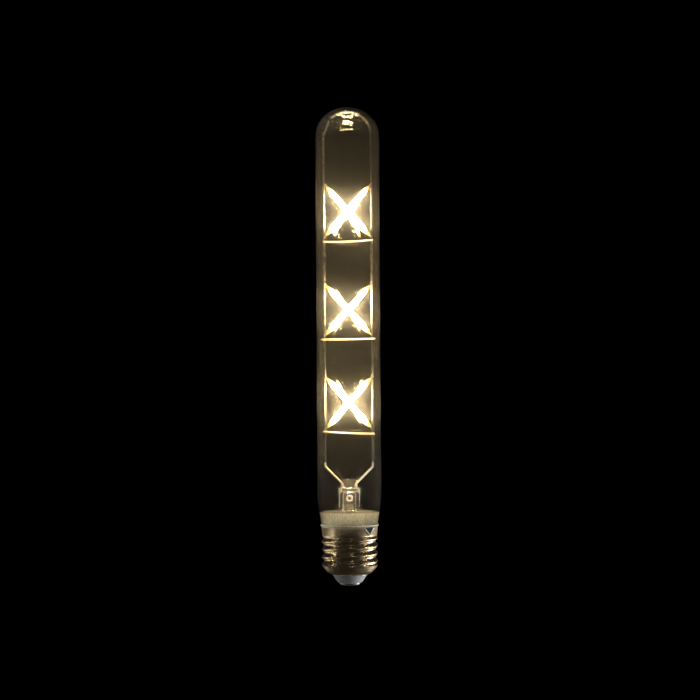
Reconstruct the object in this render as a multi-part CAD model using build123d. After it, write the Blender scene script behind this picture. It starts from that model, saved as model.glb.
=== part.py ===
from build123d import *
import os
from math import cos, pi, radians, sin, tan

os.makedirs("parts", exist_ok=True)

# A tubular filament bulb on a screw cap. Sizes are in millimetres. The origin is the middle
# of the underside of the centre contact, and +Z runs up the axis of the bulb to its dome.
# Heights are stacked from the contact upwards, so each piece starts where the last one ends.

# Clearances
seat_gap = 0.02
seal_gap = 0.05

# Centre contact and insulator at the end of the cap
contact_height = 1.3
contact_flat_radius = 2.6
contact_edge_height = 0.4
contact_margin = 0.8
contact_shank_radius = 1.3
insulator_low_radius = 5.6
insulator_cone_height = 4.0
insulator_plug_height = 2.8
insulator_plug_play = 0.1

# Cap shell: a bulging cone at its end, a right-hand thread and a plain band under the rim, drawn with
# flat sides round the cap and in steps up the thread. The first crest is at the left.
shell_wall = 0.3
shell_end_radius = 8.3
shell_cone_angle = 40.7
shell_bulge_radius = 10.7
shell_bulge_height = 1.05
shell_radius = 13.2
shell_height = 22.1
shell_sides = 36
thread_pitch = 3.629
thread_depth = 1.1
thread_first_crest = 4.56
thread_run_in = 1.3
thread_run_out = 1.8
thread_levels = 24
band_clearance = 0.2

# Side contact: a notch in the rim, filled with solder, at the front right
side_contact_angle = -45.0
notch_width = 6.0
notch_depth = 3.4
notch_overrun = 1.0
solder_proud = 0.12
solder_height_above_rim = 0.35

# Capping cement between the shell and the neck, and inside the neck
cement_thickness = 0.3
cement_bead_gap = 0.7
cement_bead_height = 0.8
cement_bead_proud = 0.7
cement_height_above_rim = 7.0
cement_floor = 1.3
cement_wall = 2.5

# Glass envelope
tube_radius = 15.0
glass_wall = 0.9
neck_seat_depth = 1.9
neck_angle = 10.8
neck_bend_radius = 42.0

# Glass stem with its pinched press, and the exhaust tube inside it
stem_wall = 1.1
stem_flare_thickness = 0.8
stem_flare_rise = 1.6
stem_height = 11.0
stem_top_thickness = 2.5
press_width = 8.0
press_depth = 3.4
press_height = 3.6
exhaust_radius = 1.9
exhaust_wall = 0.7
exhaust_length = 15.5
exhaust_hole_radius = 0.7
exhaust_lip_width = 1.0
exhaust_lip_proud = 0.5
exhaust_hole_drop = 5.2

# All wires, rods and filaments are drawn with flat sides
wire_sides = 12

# Lead wires
lead_radius = 0.5
lead_gap = 0.6
lead_bore_gap = 0.35
lead_exit_height = 1.5
lead_splay_height = 8.3
lead_tail_height = 2.0
lead_board_overlap = 3.0

# Support rods: the right-hand one is bent over the crown, the left-hand one is kinked inwards
rod_radius = 0.5
rod_wall_clearance = 2.85
rod_arch_rise = 1.8
rod_arch_angle = 131.5
rod_kink_angle = 20.0
rod_kink_length = 7.4

# Filaments: each tier is a pair of crossed filaments, named with the gap below it, its height,
# and how far its spacer rod is tilted up to the right
filament_radius = 1.1
filament_crossing_gap = 0.14
filament_pin_width = 0.8
filament_pin_thickness = 0.4
filament_pin_length = 1.9
filament_pin_overhang = 0.3
tiers = {
    "lower": {"gap": 15.3, "height": 25.2, "tilt": -0.6},
    "middle": {"gap": 19.0, "height": 24.6, "tilt": 0.1},
    "upper": {"gap": 21.6, "height": 25.3, "tilt": 0.35},
}
spacer_radius = 0.4
spacer_drop = 1.5
spacer_overhang = 1.4
head_room = 21.0

# Driver inside the cap: an upright board with a chip on each side of the fuse's lead
board_width = 15.0
board_height = 9.5
board_thickness = 1.0
board_drop = 1.7
fuse_lead_radius = 0.3
fuse_body_radius = 1.25
fuse_body_length = 3.0
fuse_body_lift = 1.0
fuse_board_overlap = 3.0
capacitor_radius = 3.15
capacitor_height = 9.0
capacitor_drop = 0.8
capacitor_shift = -3.6
chip_leg_size = 0.5
chip_leg_reach = 0.9
chip_lift = 3.0
chip_shift = 4.7
rectifier_size = (4.7, 3.9, 1.6)
rectifier_legs_per_side = 2
control_chip_size = (4.9, 3.9, 1.5)
control_chip_legs_per_side = 4
neutral_radius = 0.25
neutral_shift = 6.0
neutral_board_overlap = 2.5
neutral_rise = 0.6

# Heights that follow from the stack, from the contact upwards
shell_low_z = contact_height + insulator_cone_height
insulator_top_z = shell_low_z + insulator_plug_height
rim_z = shell_low_z + shell_height
bead_low_z = rim_z + cement_bead_gap
bead_top_z = bead_low_z + cement_bead_height
neck_end_z = rim_z - neck_seat_depth
cement_low_z = neck_end_z - cement_floor
band_low_z = cement_low_z - band_clearance
cement_top_z = rim_z + cement_height_above_rim
board_top_z = cement_low_z - board_drop
board_low_z = board_top_z - board_height
flare_top_z = cement_top_z + stem_flare_thickness
stem_top_z = flare_top_z + stem_height
stem_hollow_z = stem_top_z - stem_top_thickness
exhaust_hole_z = stem_top_z - exhaust_hole_drop
lead_low_z = board_top_z - lead_board_overlap
lead_exit_z = stem_top_z + lead_exit_height
lead_kink_z = lead_exit_z + lead_splay_height
rod_foot_z = lead_kink_z + lead_tail_height
next_low_z = rod_foot_z
for tier in tiers.values():
    tier["low_z"] = next_low_z + tier["gap"]
    tier["high_z"] = tier["low_z"] + tier["height"]
    next_low_z = tier["high_z"]
dome_base_z = next_low_z + head_room

# Radii that follow from what fits inside what
shell_bore_radius = shell_radius - shell_wall
insulator_top_radius = shell_end_radius - seat_gap
contact_radius = insulator_low_radius - contact_margin
neck_rim_radius = shell_bore_radius - cement_thickness
cement_bore_radius = neck_rim_radius - glass_wall - cement_wall
bead_radius = shell_radius + cement_bead_proud
lead_offset = exhaust_radius + lead_gap + lead_radius
stem_bore_radius = lead_offset + lead_radius + lead_bore_gap
stem_waist_radius = stem_bore_radius + stem_wall
rod_offset = tube_radius - glass_wall - rod_wall_clearance
filament_offset = filament_radius + filament_crossing_gap / 2
pin_offset = rod_radius + filament_pin_thickness / 2 + seat_gap
spacer_offset = rod_radius + spacer_radius + seat_gap
spacer_half_length = rod_offset + spacer_overhang
board_front = lead_radius + seat_gap

# The neck is a cone from the rim up to where it bends into the tube
neck_bend_low_radius = tube_radius - neck_bend_radius * (1 - cos(radians(neck_angle)))
neck_bend_low_z = rim_z + (neck_bend_low_radius - neck_rim_radius) / tan(radians(neck_angle))
tube_low_z = neck_bend_low_z + neck_bend_radius * sin(radians(neck_angle))


def turned(outline):
    """Solid turned about the axis of the bulb from a closed outline of (radius, height)."""
    return revolve(Plane.XZ * make_face(outline), Axis.Z)


def turned_from(*corners):
    """Solid turned about the axis of the bulb from the corners of its outline."""
    return turned(Polyline(*corners, close=True))


def ring(inner_radius, outer_radius, low_z, high_z):
    """Plain turned ring, or a disc where the inner radius is zero."""
    return turned_from(
        (inner_radius, low_z), (outer_radius, low_z), (outer_radius, high_z), (inner_radius, high_z))


def wire_section(radius):
    return RegularPolygon(radius, wire_sides, major_radius=False, rotation=180 / wire_sides)


def wire_along(path, radius):
    """Wire that follows a path, mitred at its corners."""
    start = Plane(origin=path @ 0, z_dir=path % 0)
    return sweep(start * wire_section(radius), path, transition=Transition.RIGHT)


def save(shape, node):
    export_step(shape, f"parts/{node}.step")


# Glass envelope
def envelope_plug(inset, end_z):
    """Solid within the outer face of the glass, or within a face at an inset from it."""
    dome = CenterArc((0, dome_base_z), tube_radius - inset, 90, -90)
    bend = CenterArc((tube_radius - neck_bend_radius, tube_low_z), neck_bend_radius - inset, 0, -neck_angle)
    side = Line(dome @ 1, bend @ 0)
    end_radius = neck_rim_radius + (end_z - rim_z) * tan(radians(neck_angle))
    end_radius -= inset / cos(radians(neck_angle))
    neck = Polyline(bend @ 1, (end_radius, end_z), (0, end_z), dome @ 0)
    return turned(dome + side + bend + neck)


neck_bore = envelope_plug(glass_wall + seal_gap, neck_end_z - seal_gap)
neck_outside = envelope_plug(-seal_gap, neck_end_z - seal_gap)
glass_envelope = envelope_plug(0, neck_end_z) - envelope_plug(glass_wall, neck_end_z)
save(glass_envelope, "glass_envelope")


# Cap shell, with the thread and the notch for the side contact
def side_contact_prism(width, depth, top_z):
    """V-shaped block that points down from the rim, through the sheet at the side contact."""
    inner_radius = shell_bore_radius - notch_overrun
    face = Plane(origin=(inner_radius, 0, top_z), x_dir=(0, 1, 0), z_dir=(1, 0, 0))
    profile = make_face(Polyline((-width / 2, 0), (width / 2, 0), (0, -depth), close=True))
    return Rot(0, 0, side_contact_angle) * extrude(face * profile, shell_wall + 2 * notch_overrun)


cone_slope = tan(radians(shell_cone_angle))
cone_bore_radius = shell_end_radius - shell_wall / sin(radians(shell_cone_angle))
cone_top_z = shell_low_z + (shell_radius - shell_end_radius) * cone_slope
thread_bore_radius = shell_radius - thread_depth - shell_wall


def ease(share):
    """Smooth change from 0 to 1."""
    share = min(max(share, 0), 1)
    return share * share * (3 - 2 * share)


def thread_radius(z, turn):
    """Outer radius of the thread at a height, after a part of a turn from the left of the cap."""
    run_in = ease((z - cone_top_z) / thread_run_in)
    run_out = ease((band_low_z - z) / thread_run_out)
    wave = (z - shell_low_z - thread_first_crest) / thread_pitch - turn
    return shell_radius - thread_depth * run_in * run_out * (1 - cos(2 * pi * wave)) / 2


def shell_corners(side):
    """Corners of the shell's section where one of its flat sides begins, with the thread first."""
    corner = 1 / cos(pi / shell_sides)
    cone_bore = cone_bore_radius * corner
    thread_bore = thread_bore_radius * corner
    outline = []
    for level in range(thread_levels + 1):
        z = cone_top_z + (band_low_z - cone_top_z) * level / thread_levels
        outline.append((thread_radius(z, side / shell_sides - 0.5), z))
    outline.append((shell_radius, rim_z))
    outline.append((shell_bore_radius * corner, rim_z))
    outline.append((shell_bore_radius * corner, band_low_z))
    outline.append((thread_bore, band_low_z))
    outline.append((thread_bore, shell_low_z + (thread_bore - cone_bore) * cone_slope))
    outline.append((cone_bore, shell_low_z))
    outline.append((shell_end_radius, shell_low_z))
    outline.append((shell_bulge_radius, shell_low_z + shell_bulge_height))
    angle = 2 * pi * side / shell_sides
    return [Vector(radius * cos(angle), radius * sin(angle), z) for radius, z in outline]


def panel(*corners):
    return Face(Wire.make_polygon(corners, close=True))


shell_panels = []
shell_rows = [shell_corners(side) for side in range(shell_sides)]
for side, here in enumerate(shell_rows):
    there = shell_rows[(side + 1) % shell_sides]
    for low in range(len(here)):
        high = (low + 1) % len(here)
        if low < thread_levels:
            shell_panels.append(panel(here[low], there[low], there[high]))
            shell_panels.append(panel(here[low], there[high], here[high]))
        else:
            shell_panels.append(panel(here[low], there[low], there[high], here[high]))
cap_shell = Solid(Shell(shell_panels))
cap_shell -= side_contact_prism(notch_width, notch_depth, rim_z)
save(cap_shell, "cap_shell")

# Solder that fills the notch and stands a little proud of the sheet and of the rim
solder_width = notch_width - 2 * seat_gap
solder_depth = notch_depth - 2 * seat_gap
solder_top_z = rim_z + solder_height_above_rim
side_solder = side_contact_prism(solder_width, solder_depth, rim_z)
side_solder += side_contact_prism(solder_width / 2, solder_depth / 2, solder_top_z)
side_solder &= ring(shell_bore_radius, shell_radius + solder_proud, rim_z - notch_depth, solder_top_z)
save(side_solder, "side_solder")

# Insulator, with a plug through the end of the shell
plug_radius = cone_bore_radius - insulator_plug_play
cone_seat_z = shell_low_z - seat_gap
insulator_hole_radius = contact_shank_radius + seat_gap
cap_insulator = turned_from(
    (insulator_hole_radius, contact_height),
    (insulator_low_radius, contact_height),
    (insulator_top_radius, cone_seat_z),
    (plug_radius, cone_seat_z),
    (plug_radius, insulator_top_z),
    (insulator_hole_radius, insulator_top_z),
)
save(cap_insulator, "cap_insulator")

# Centre contact: a head with a flat end, and a shank through the insulator
contact_edge_z = contact_height - contact_edge_height
centre_contact = turned_from(
    (0, 0),
    (contact_flat_radius, 0),
    (contact_radius, contact_edge_z),
    (contact_radius, contact_height),
    (contact_shank_radius, contact_height),
    (contact_shank_radius, insulator_top_z),
    (0, insulator_top_z),
)
save(centre_contact, "centre_contact")

# Fuse resistor, upright between the centre contact and the front of the board
fuse_body_z = insulator_top_z + fuse_body_lift
fuse_body_path = Line((0, 0, fuse_body_z), (0, 0, fuse_body_z + fuse_body_length))
fuse_lead_path = Line((0, 0, insulator_top_z + seat_gap), (0, 0, board_low_z + fuse_board_overlap))
fuse_resistor = wire_along(fuse_body_path, fuse_body_radius)
fuse_resistor += wire_along(fuse_lead_path, fuse_lead_radius)
save(fuse_resistor, "fuse_resistor")

# Driver board, which stands upright behind the lead wires
board_align = (Align.CENTER, Align.MIN, Align.MIN)
driver_board = Box(board_width, board_thickness, board_height, align=board_align)
save(Pos(0, board_front, board_low_z) * driver_board, "driver_board")


def chip(size, shift, legs_per_side):
    """Flat chip on the front of the board, with a row of legs on two sides."""
    length, width, height = size
    seat_align = (Align.CENTER, Align.CENTER, Align.MAX)
    body = Box(length, width, height, align=seat_align)
    leg = Box(chip_leg_size, width + 2 * chip_leg_reach, chip_leg_size, align=seat_align)
    pitch = length / legs_per_side
    for row in range(legs_per_side):
        body += Pos((row - (legs_per_side - 1) / 2) * pitch, 0, 0) * leg
    seat = Plane(origin=(shift, board_front, board_low_z + chip_lift), x_dir=(1, 0, 0), z_dir=(0, 1, 0))
    return seat * body


save(chip(rectifier_size, chip_shift, rectifier_legs_per_side), "rectifier")
save(chip(control_chip_size, -chip_shift, control_chip_legs_per_side), "control_chip")

capacitor_y = board_front + board_thickness + seat_gap + capacitor_radius
capacitor_top_z = board_top_z - capacitor_drop
smoothing_capacitor = Pos(capacitor_shift, capacitor_y, 0) * ring(
    0, capacitor_radius, capacitor_top_z - capacitor_height, capacitor_top_z)
save(smoothing_capacitor, "smoothing_capacitor")

# Neutral wire from the front of the board, out under the end of the neck to the side solder
neutral_y = board_front - neutral_radius - seat_gap
neutral_run_z = cement_low_z + neutral_rise
neutral_reach = shell_bore_radius - neutral_radius / 2 - seat_gap
neutral_path = Polyline(
    (neutral_shift, neutral_y, board_top_z - neutral_board_overlap),
    (neutral_shift, neutral_y, neutral_run_z),
    (
        neutral_reach * cos(radians(side_contact_angle)),
        neutral_reach * sin(radians(side_contact_angle)),
        neutral_run_z,
    ),
)
save(wire_along(neutral_path, neutral_radius), "neutral_wire")

# Capping cement: one mass that wraps the end of the neck, with a bead above the rim
capping_cement = neck_bore & ring(cement_bore_radius, tube_radius, neck_end_z - seal_gap, cement_top_z)
cement_collar = ring(cement_bore_radius, shell_bore_radius - seat_gap, cement_low_z, bead_low_z)
cement_collar += ring(cement_bore_radius, bead_radius, bead_low_z, bead_top_z)
capping_cement += cement_collar - neck_outside
capping_cement -= wire_along(neutral_path, neutral_radius + seat_gap)
save(capping_cement, "capping_cement")


# Lead wires
def lead_path(side):
    return Polyline(
        (side * rod_offset, 0, rod_foot_z),
        (side * rod_offset, 0, lead_kink_z),
        (side * lead_offset, 0, lead_exit_z),
        (side * lead_offset, 0, lead_low_z),
    )


sides = {"left": -1, "right": 1}
for name, side in sides.items():
    save(wire_along(lead_path(side), lead_radius), f"{name}_lead_wire")

# Glass stem: flared tube, pinched press and the exhaust hole with its lip
glass_stem = turned_from(
    (0, stem_top_z),
    (stem_waist_radius, stem_top_z),
    (stem_waist_radius, flare_top_z + stem_flare_rise),
    (stem_waist_radius + stem_flare_rise, flare_top_z),
    (tube_radius, flare_top_z),
    (tube_radius, cement_top_z),
    (stem_bore_radius, cement_top_z),
    (stem_bore_radius, stem_hollow_z),
    (0, stem_hollow_z),
)
glass_stem &= neck_bore
press_base = Pos(0, 0, stem_top_z) * SlotOverall(press_width, press_depth)
glass_stem += extrude(press_base, press_height)
hole_depth = stem_waist_radius + exhaust_lip_proud
exhaust_hole = Plane(origin=(0, -hole_depth, exhaust_hole_z), z_dir=(0, 1, 0))
lip = Circle(exhaust_hole_radius + exhaust_lip_width)
glass_stem += extrude(exhaust_hole * lip, exhaust_lip_proud + stem_wall / 2)
glass_stem -= extrude(exhaust_hole * Circle(exhaust_hole_radius), hole_depth - exhaust_radius - seal_gap)
for side in sides.values():
    glass_stem -= wire_along(lead_path(side), lead_radius + seal_gap)
save(glass_stem, "glass_stem")

# Exhaust tube, sealed at its lower end
exhaust_top_z = stem_hollow_z - seal_gap
exhaust_low_z = exhaust_top_z - exhaust_length
exhaust_tube = ring(0, exhaust_radius, exhaust_low_z, exhaust_top_z)
exhaust_tube -= ring(0, exhaust_radius - exhaust_wall, exhaust_low_z + exhaust_wall, exhaust_top_z)
save(exhaust_tube, "exhaust_tube")

# Support rods
arch_z = dome_base_z + rod_arch_rise
right_upright = Line((rod_offset, rod_foot_z), (rod_offset, arch_z))
right_arch = CenterArc((0, arch_z), rod_offset, 0, rod_arch_angle)
save(wire_along(Plane.XZ * (right_upright + right_arch), rod_radius), "right_support_rod")
kink_reach = rod_kink_length * sin(radians(rod_kink_angle))
kink_rise = rod_kink_length * cos(radians(rod_kink_angle))
left_path = Polyline(
    (-rod_offset, 0, rod_foot_z),
    (-rod_offset, 0, arch_z),
    (-rod_offset + kink_reach, 0, arch_z + kink_rise),
)
save(wire_along(left_path, rod_radius), "left_support_rod")


# Crossed filaments, their flat welded pins and the spacer rod under each pair
def filament(low_side, front, tier):
    """One straight filament from the rod on its low side up to the other rod, with its two pins."""
    low = Vector(low_side * rod_offset, 0, tier["low_z"])
    high = Vector(-low_side * rod_offset, 0, tier["high_z"])
    run = (high - low).normalized()
    coat_place = Vector(0, front * filament_offset, 0)
    pin_place = Vector(0, front * pin_offset, 0)
    low_end = low + run * filament_pin_length
    high_end = high - run * filament_pin_length
    coat = wire_along(Line(low_end + coat_place, high_end + coat_place), filament_radius)
    pin_span = filament_pin_length + filament_pin_overhang
    pin_align = (Align.CENTER, Align.CENTER, Align.MIN)
    pin = Box(filament_pin_width, filament_pin_thickness, pin_span, align=pin_align)
    pins = []
    for end, direction in ((low_end, -run), (high_end, run)):
        seat = Plane(origin=end + pin_place, x_dir=direction.cross(Vector(0, 1, 0)), z_dir=direction)
        pins.append(seat * pin)
    return coat, Compound(children=pins)


for name, tier in tiers.items():
    for slope, low_side, front in (("rising", -1, -1), ("falling", 1, 1)):
        coat, pins = filament(low_side, front, tier)
        save(coat, f"{name}_{slope}_filament")
        save(pins, f"{name}_{slope}_pins")
    spacer_z = tier["low_z"] - spacer_drop
    spacer_path = Line(
        (-spacer_half_length, -spacer_offset, spacer_z - tier["tilt"]),
        (spacer_half_length, -spacer_offset, spacer_z + tier["tilt"]),
    )
    spacer = wire_along(spacer_path, spacer_radius)
    save(spacer, f"{name}_spacer_rod")
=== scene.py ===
from math import atan2, cos, hypot, pi, radians, sin, tan

import bpy
from mathutils import Matrix, Vector


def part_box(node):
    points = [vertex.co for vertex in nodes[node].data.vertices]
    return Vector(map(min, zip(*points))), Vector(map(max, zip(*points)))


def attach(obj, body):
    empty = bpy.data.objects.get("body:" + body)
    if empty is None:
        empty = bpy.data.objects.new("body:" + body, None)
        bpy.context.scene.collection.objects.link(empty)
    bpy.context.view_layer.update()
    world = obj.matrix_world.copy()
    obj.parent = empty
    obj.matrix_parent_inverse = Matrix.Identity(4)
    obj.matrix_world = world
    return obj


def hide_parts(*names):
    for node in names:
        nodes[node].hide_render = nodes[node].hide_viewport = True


# A lit tubular filament bulb, upright on its screw cap, on a black background.
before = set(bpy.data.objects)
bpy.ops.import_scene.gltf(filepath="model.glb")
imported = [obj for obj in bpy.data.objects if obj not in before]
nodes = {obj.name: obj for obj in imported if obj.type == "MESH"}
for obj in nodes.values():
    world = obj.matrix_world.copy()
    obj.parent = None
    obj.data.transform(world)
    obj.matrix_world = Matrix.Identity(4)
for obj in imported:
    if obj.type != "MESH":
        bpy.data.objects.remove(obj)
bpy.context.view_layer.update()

mm = 0.001
body = "root"

# Sizes read from the frame
glass_low, glass_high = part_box("glass_envelope")
shell_low, shell_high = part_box("cap_shell")
insulator_low, insulator_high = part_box("cap_insulator")
contact_low, contact_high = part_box("centre_contact")
cement_low, cement_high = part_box("capping_cement")
stem_low, stem_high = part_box("glass_stem")
exhaust_low, exhaust_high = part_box("exhaust_tube")
right_rod_low, right_rod_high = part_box("right_support_rod")
lead_low_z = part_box("left_lead_wire")[0][2]

# Glass tube, with a dome a little flatter than a half ball and a neck that bends into the tube
tube_radius = -glass_low[0]
glass_top_z = glass_high[2]
neck_end_z = glass_low[2]
glass_wall = 0.9 * mm
dome_rise = 13.9 * mm
dome_base_z = glass_top_z - dome_rise
neck_angle = radians(8.4)
neck_bend_radius = 42 * mm
tube_low_z = 43.95 * mm
tube_runs = 12
tube_steps = 512

# Ripples around the glass: part of the depth, count around it, millimetres up for each radian of
# twist, and start. Rings in the dome: part of the depth, count up the dome, and start.
ripple_depth = 0.011 * mm
ripples = [(0.40, 29, 9, 0.0), (0.35, 47, -14, 1.0), (0.25, 79, 11, 2.2)]
dome_ring_share = 0.0009
dome_rings = [(0.6, 24, 0.0), (0.4, 33, 1.0)]

# Cap shell and its rolled thread
shell_radius = 13.2 * mm
shell_wall = 0.3 * mm
shell_end_radius = 8.3 * mm
shell_cone_angle = radians(40.7)
thread_pitch = 3.629 * mm
thread_depth = 1.1 * mm
thread_crest_z = 9.86 * mm
thread_run_in = (9.51 * mm, 10.81 * mm)
thread_run_out = (22.2 * mm, 24.0 * mm)
thread_rings = 100
shell_steps = 128
band_taper = 0.35 * mm
rim_z = shell_high[2]
shell_end_z = shell_low[2]

# Support rods and lead wires
rod_radius = 0.5 * mm
rod_offset = right_rod_high[0] - rod_radius
rod_foot_z = right_rod_low[2]
arch_z = 211.8 * mm
arch_angle = radians(131.5)
left_kink_angle = radians(20)
left_kink_length = 7.4 * mm
lead_radius = 0.44 * mm
lead_offset = 3.0 * mm
lead_exit_z = 47.7 * mm
lead_kink_z = 56.0 * mm
wire_sides = 20
crease_angle = radians(35)

# Filaments and the spacer rod under each pair
filament_radius = 1.1 * mm
filament_offset = 1.17 * mm
filament_pin_length = 1.9 * mm
filament_glow = 160.0
filament_runs = 24
filament_taper = 0.45
filament_taper_start = 0.72
spacer_radius = 0.4 * mm
spacer_offset = 0.92 * mm
spacer_overhang = {"lower": 0.9 * mm, "middle": 1.4 * mm, "upper": 0.6 * mm}
spacer_sag = {"lower": 0.25 * mm, "middle": 0.2 * mm, "upper": 0.45 * mm}
spacer_tilt = {"lower": -0.6 * mm, "middle": 0.1 * mm, "upper": 0.35 * mm}
tiers = {
    "lower": (73.3 * mm, 98.5 * mm),
    "middle": (117.5 * mm, 142.1 * mm),
    "upper": (163.7 * mm, 189.0 * mm),
}
spacer_drop = 1.5 * mm

# Side contact in the rim of the cap
side_contact_turn = Matrix.Rotation(radians(-45), 4, "Z")
notch_width = 6.0 * mm
notch_depth = 3.4 * mm
notch_overrun = 0.5 * mm
fillet_radius = 0.45 * mm

# Camera at the level of the middle of the bulb, floor and lamps
photo_pixels = 700
photo_scale = 0.471 * mm
camera_distance = 1.2
camera_level = 110.8 * mm
camera_side = 0.7 * mm
camera_roll = radians(0.36)
floor_z = -0.7
softbox_distance = 0.6
softbox_beam = radians(70)
fill_strength = 0.017
sensor_width = 36
cap_middle = Vector((0, 0, 16 * mm))


# Modelling
def fresh_vertex(name, place):
    """Start a piece in edit mode as one vertex, ready to be drawn out into an outline."""
    bpy.ops.object.select_all(action="DESELECT")
    bpy.ops.mesh.primitive_plane_add(size=mm)
    piece = bpy.context.object
    piece.name = name
    piece.data.name = name
    bpy.ops.object.mode_set(mode="EDIT")
    bpy.ops.mesh.select_all(action="SELECT")
    bpy.ops.mesh.merge(type="CENTER")
    bpy.ops.transform.translate(value=place)
    return piece


def draw_through(name, places):
    """Draw an edge through a row of places, one vertex after another."""
    piece = fresh_vertex(name, places[0])
    for here, there in zip(places, places[1:]):
        bpy.ops.mesh.extrude_vertices_move(TRANSFORM_OT_translate={"value": there - here})
    return piece


def turned(name, outline, steps):
    """Turn an outline of (radius, height) about the axis of the bulb."""
    piece = draw_through(name, [Vector((radius, 0, height)) for radius, height in outline])
    bpy.ops.mesh.select_all(action="SELECT")
    bpy.ops.mesh.spin(steps=steps, angle=2 * pi, center=(0, 0, 0), axis=(0, 0, 1))
    bpy.ops.mesh.select_all(action="SELECT")
    bpy.ops.mesh.remove_doubles(threshold=0.0001 * mm)
    bpy.ops.mesh.normals_make_consistent(inside=False)
    bpy.ops.object.mode_set(mode="OBJECT")
    return piece


def apply_modifier(piece, kind, **settings):
    bpy.context.view_layer.objects.active = piece
    modifier = piece.modifiers.new(kind.title(), kind)
    for setting, value in settings.items():
        setattr(modifier, setting, value)
    bpy.ops.object.modifier_apply(modifier=modifier.name)


def soften(piece, width, segments=2):
    """Round the corners of a piece."""
    apply_modifier(piece, "BEVEL", width=width, segments=segments, limit_method="ANGLE",
                   angle_limit=radians(25), use_clamp_overlap=True)


def smooth(piece):
    bpy.ops.object.select_all(action="DESELECT")
    piece.select_set(True)
    bpy.context.view_layer.objects.active = piece
    bpy.ops.object.shade_smooth_by_angle(angle=crease_angle)


def finish_piece(piece, finish, slot, *replaced):
    """Give a piece its finish, and let it stand for the nodes it replaces."""
    piece.data.materials.clear()
    piece.data.materials.append(finish)
    smooth(piece)
    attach(piece, body)
    if replaced:
        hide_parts(*replaced)


def arc(centre, radius, start, end, count):
    """Points of (radius, height) along an arc of an outline, both ends included."""
    points = []
    for step in range(count + 1):
        angle = start + (end - start) * step / count
        points.append((centre[0] + radius[0] * cos(angle), centre[1] + radius[1] * sin(angle)))
    return points


# Wires
def start_wire(name, radius, place, direction):
    """Start a round wire in edit mode, with its end face selected."""
    bpy.ops.object.select_all(action="DESELECT")
    turn = Vector((0, 0, 1)).rotation_difference(Vector(direction)).to_euler()
    bpy.ops.mesh.primitive_circle_add(
        vertices=wire_sides, radius=radius, fill_type="NGON", location=place, rotation=turn)
    piece = bpy.context.object
    piece.name = name
    piece.data.name = name
    bpy.ops.object.transform_apply(location=True, rotation=True, scale=True)
    bpy.ops.object.mode_set(mode="EDIT")
    bpy.ops.mesh.select_all(action="SELECT")
    return piece


def run_wire(run):
    """Draw the selected end of a wire out along a straight run."""
    bpy.ops.mesh.extrude_region_move(TRANSFORM_OT_translate={"value": run})


def bend_wire(centre, axis, angle, steps):
    """Draw the selected end of a wire round a bend. With no window, spin turns the other way."""
    bpy.ops.mesh.spin(steps=steps, angle=-angle, center=centre, axis=axis)


def end_wire(piece, radius):
    """Close a wire, with both of its ends rounded over."""
    bpy.ops.mesh.select_all(action="SELECT")
    bpy.ops.mesh.remove_doubles(threshold=0.001 * mm)
    bpy.ops.mesh.normals_make_consistent(inside=False)
    bpy.ops.object.mode_set(mode="OBJECT")
    apply_modifier(piece, "BEVEL", width=0.3 * radius, segments=2, limit_method="ANGLE",
                   angle_limit=radians(60))


def wire_through(name, radius, places, bend_radius, steps=6):
    """Wire through a row of places, bent to a radius at each place between its ends."""
    places = [Vector(place) for place in places]
    piece = start_wire(name, radius, places[0], places[1] - places[0])
    here = places[0]
    for corner, after in zip(places[1:], places[2:]):
        arriving = (corner - here).normalized()
        leaving = (after - corner).normalized()
        angle = arriving.angle(leaving)
        cut = bend_radius * tan(angle / 2)
        bend_start = corner - arriving * cut
        run_wire(bend_start - here)
        axis = arriving.cross(leaving).normalized()
        centre = bend_start + axis.cross(arriving) * bend_radius
        bend_wire(centre, axis, angle, steps)
        here = corner + leaving * cut
    run_wire(places[-1] - here)
    end_wire(piece, radius)
    return piece


# Finishes, with the range that most noise lies in and how strongly glass bends light
noise_low = 0.3
noise_high = 0.7
glass_bend = 1.5


def new_finish(name):
    finish = bpy.data.materials.new(name)
    finish.use_nodes = True
    return finish, finish.node_tree


def shader_of(tree):
    return tree.nodes["Principled BSDF"]


def grain(tree, size, stretch=(1, 1, 1), detail=4.0, roughness=0.55):
    """Noise on the piece's own coordinates, with features of about the given size in metres."""
    place = tree.nodes.new("ShaderNodeTexCoord")
    mapping = tree.nodes.new("ShaderNodeMapping")
    mapping.inputs["Scale"].default_value = [1 / (size * part) for part in stretch]
    noise = tree.nodes.new("ShaderNodeTexNoise")
    noise.inputs["Scale"].default_value = 1.0
    noise.inputs["Detail"].default_value = detail
    noise.inputs["Roughness"].default_value = roughness
    tree.links.new(place.outputs["Object"], mapping.inputs["Vector"])
    tree.links.new(mapping.outputs["Vector"], noise.inputs["Vector"])
    return noise.outputs["Fac"]


def ramp(tree, source, stops):
    """Colours along a ramp, each stop a place and a colour."""
    node = tree.nodes.new("ShaderNodeValToRGB")
    elements = node.color_ramp.elements
    elements[0].position, elements[0].color = stops[0][0], (*stops[0][1], 1)
    elements[1].position, elements[1].color = stops[-1][0], (*stops[-1][1], 1)
    for place, colour in stops[1:-1]:
        elements.new(place).color = (*colour, 1)
    tree.links.new(source, node.inputs["Fac"])
    return node.outputs["Color"]


def scaled(tree, source, low, high, to_low=0.0, to_high=1.0):
    """Bring a value from one range into another, held at its ends."""
    node = tree.nodes.new("ShaderNodeMapRange")
    node.inputs["From Min"].default_value = low
    node.inputs["From Max"].default_value = high
    node.inputs["To Min"].default_value = to_low
    node.inputs["To Max"].default_value = to_high
    tree.links.new(source, node.inputs["Value"])
    return node.outputs["Result"]


def spread(tree, source, low, high):
    """Spread noise over a range of values."""
    return scaled(tree, source, noise_low, noise_high, low, high)


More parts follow.
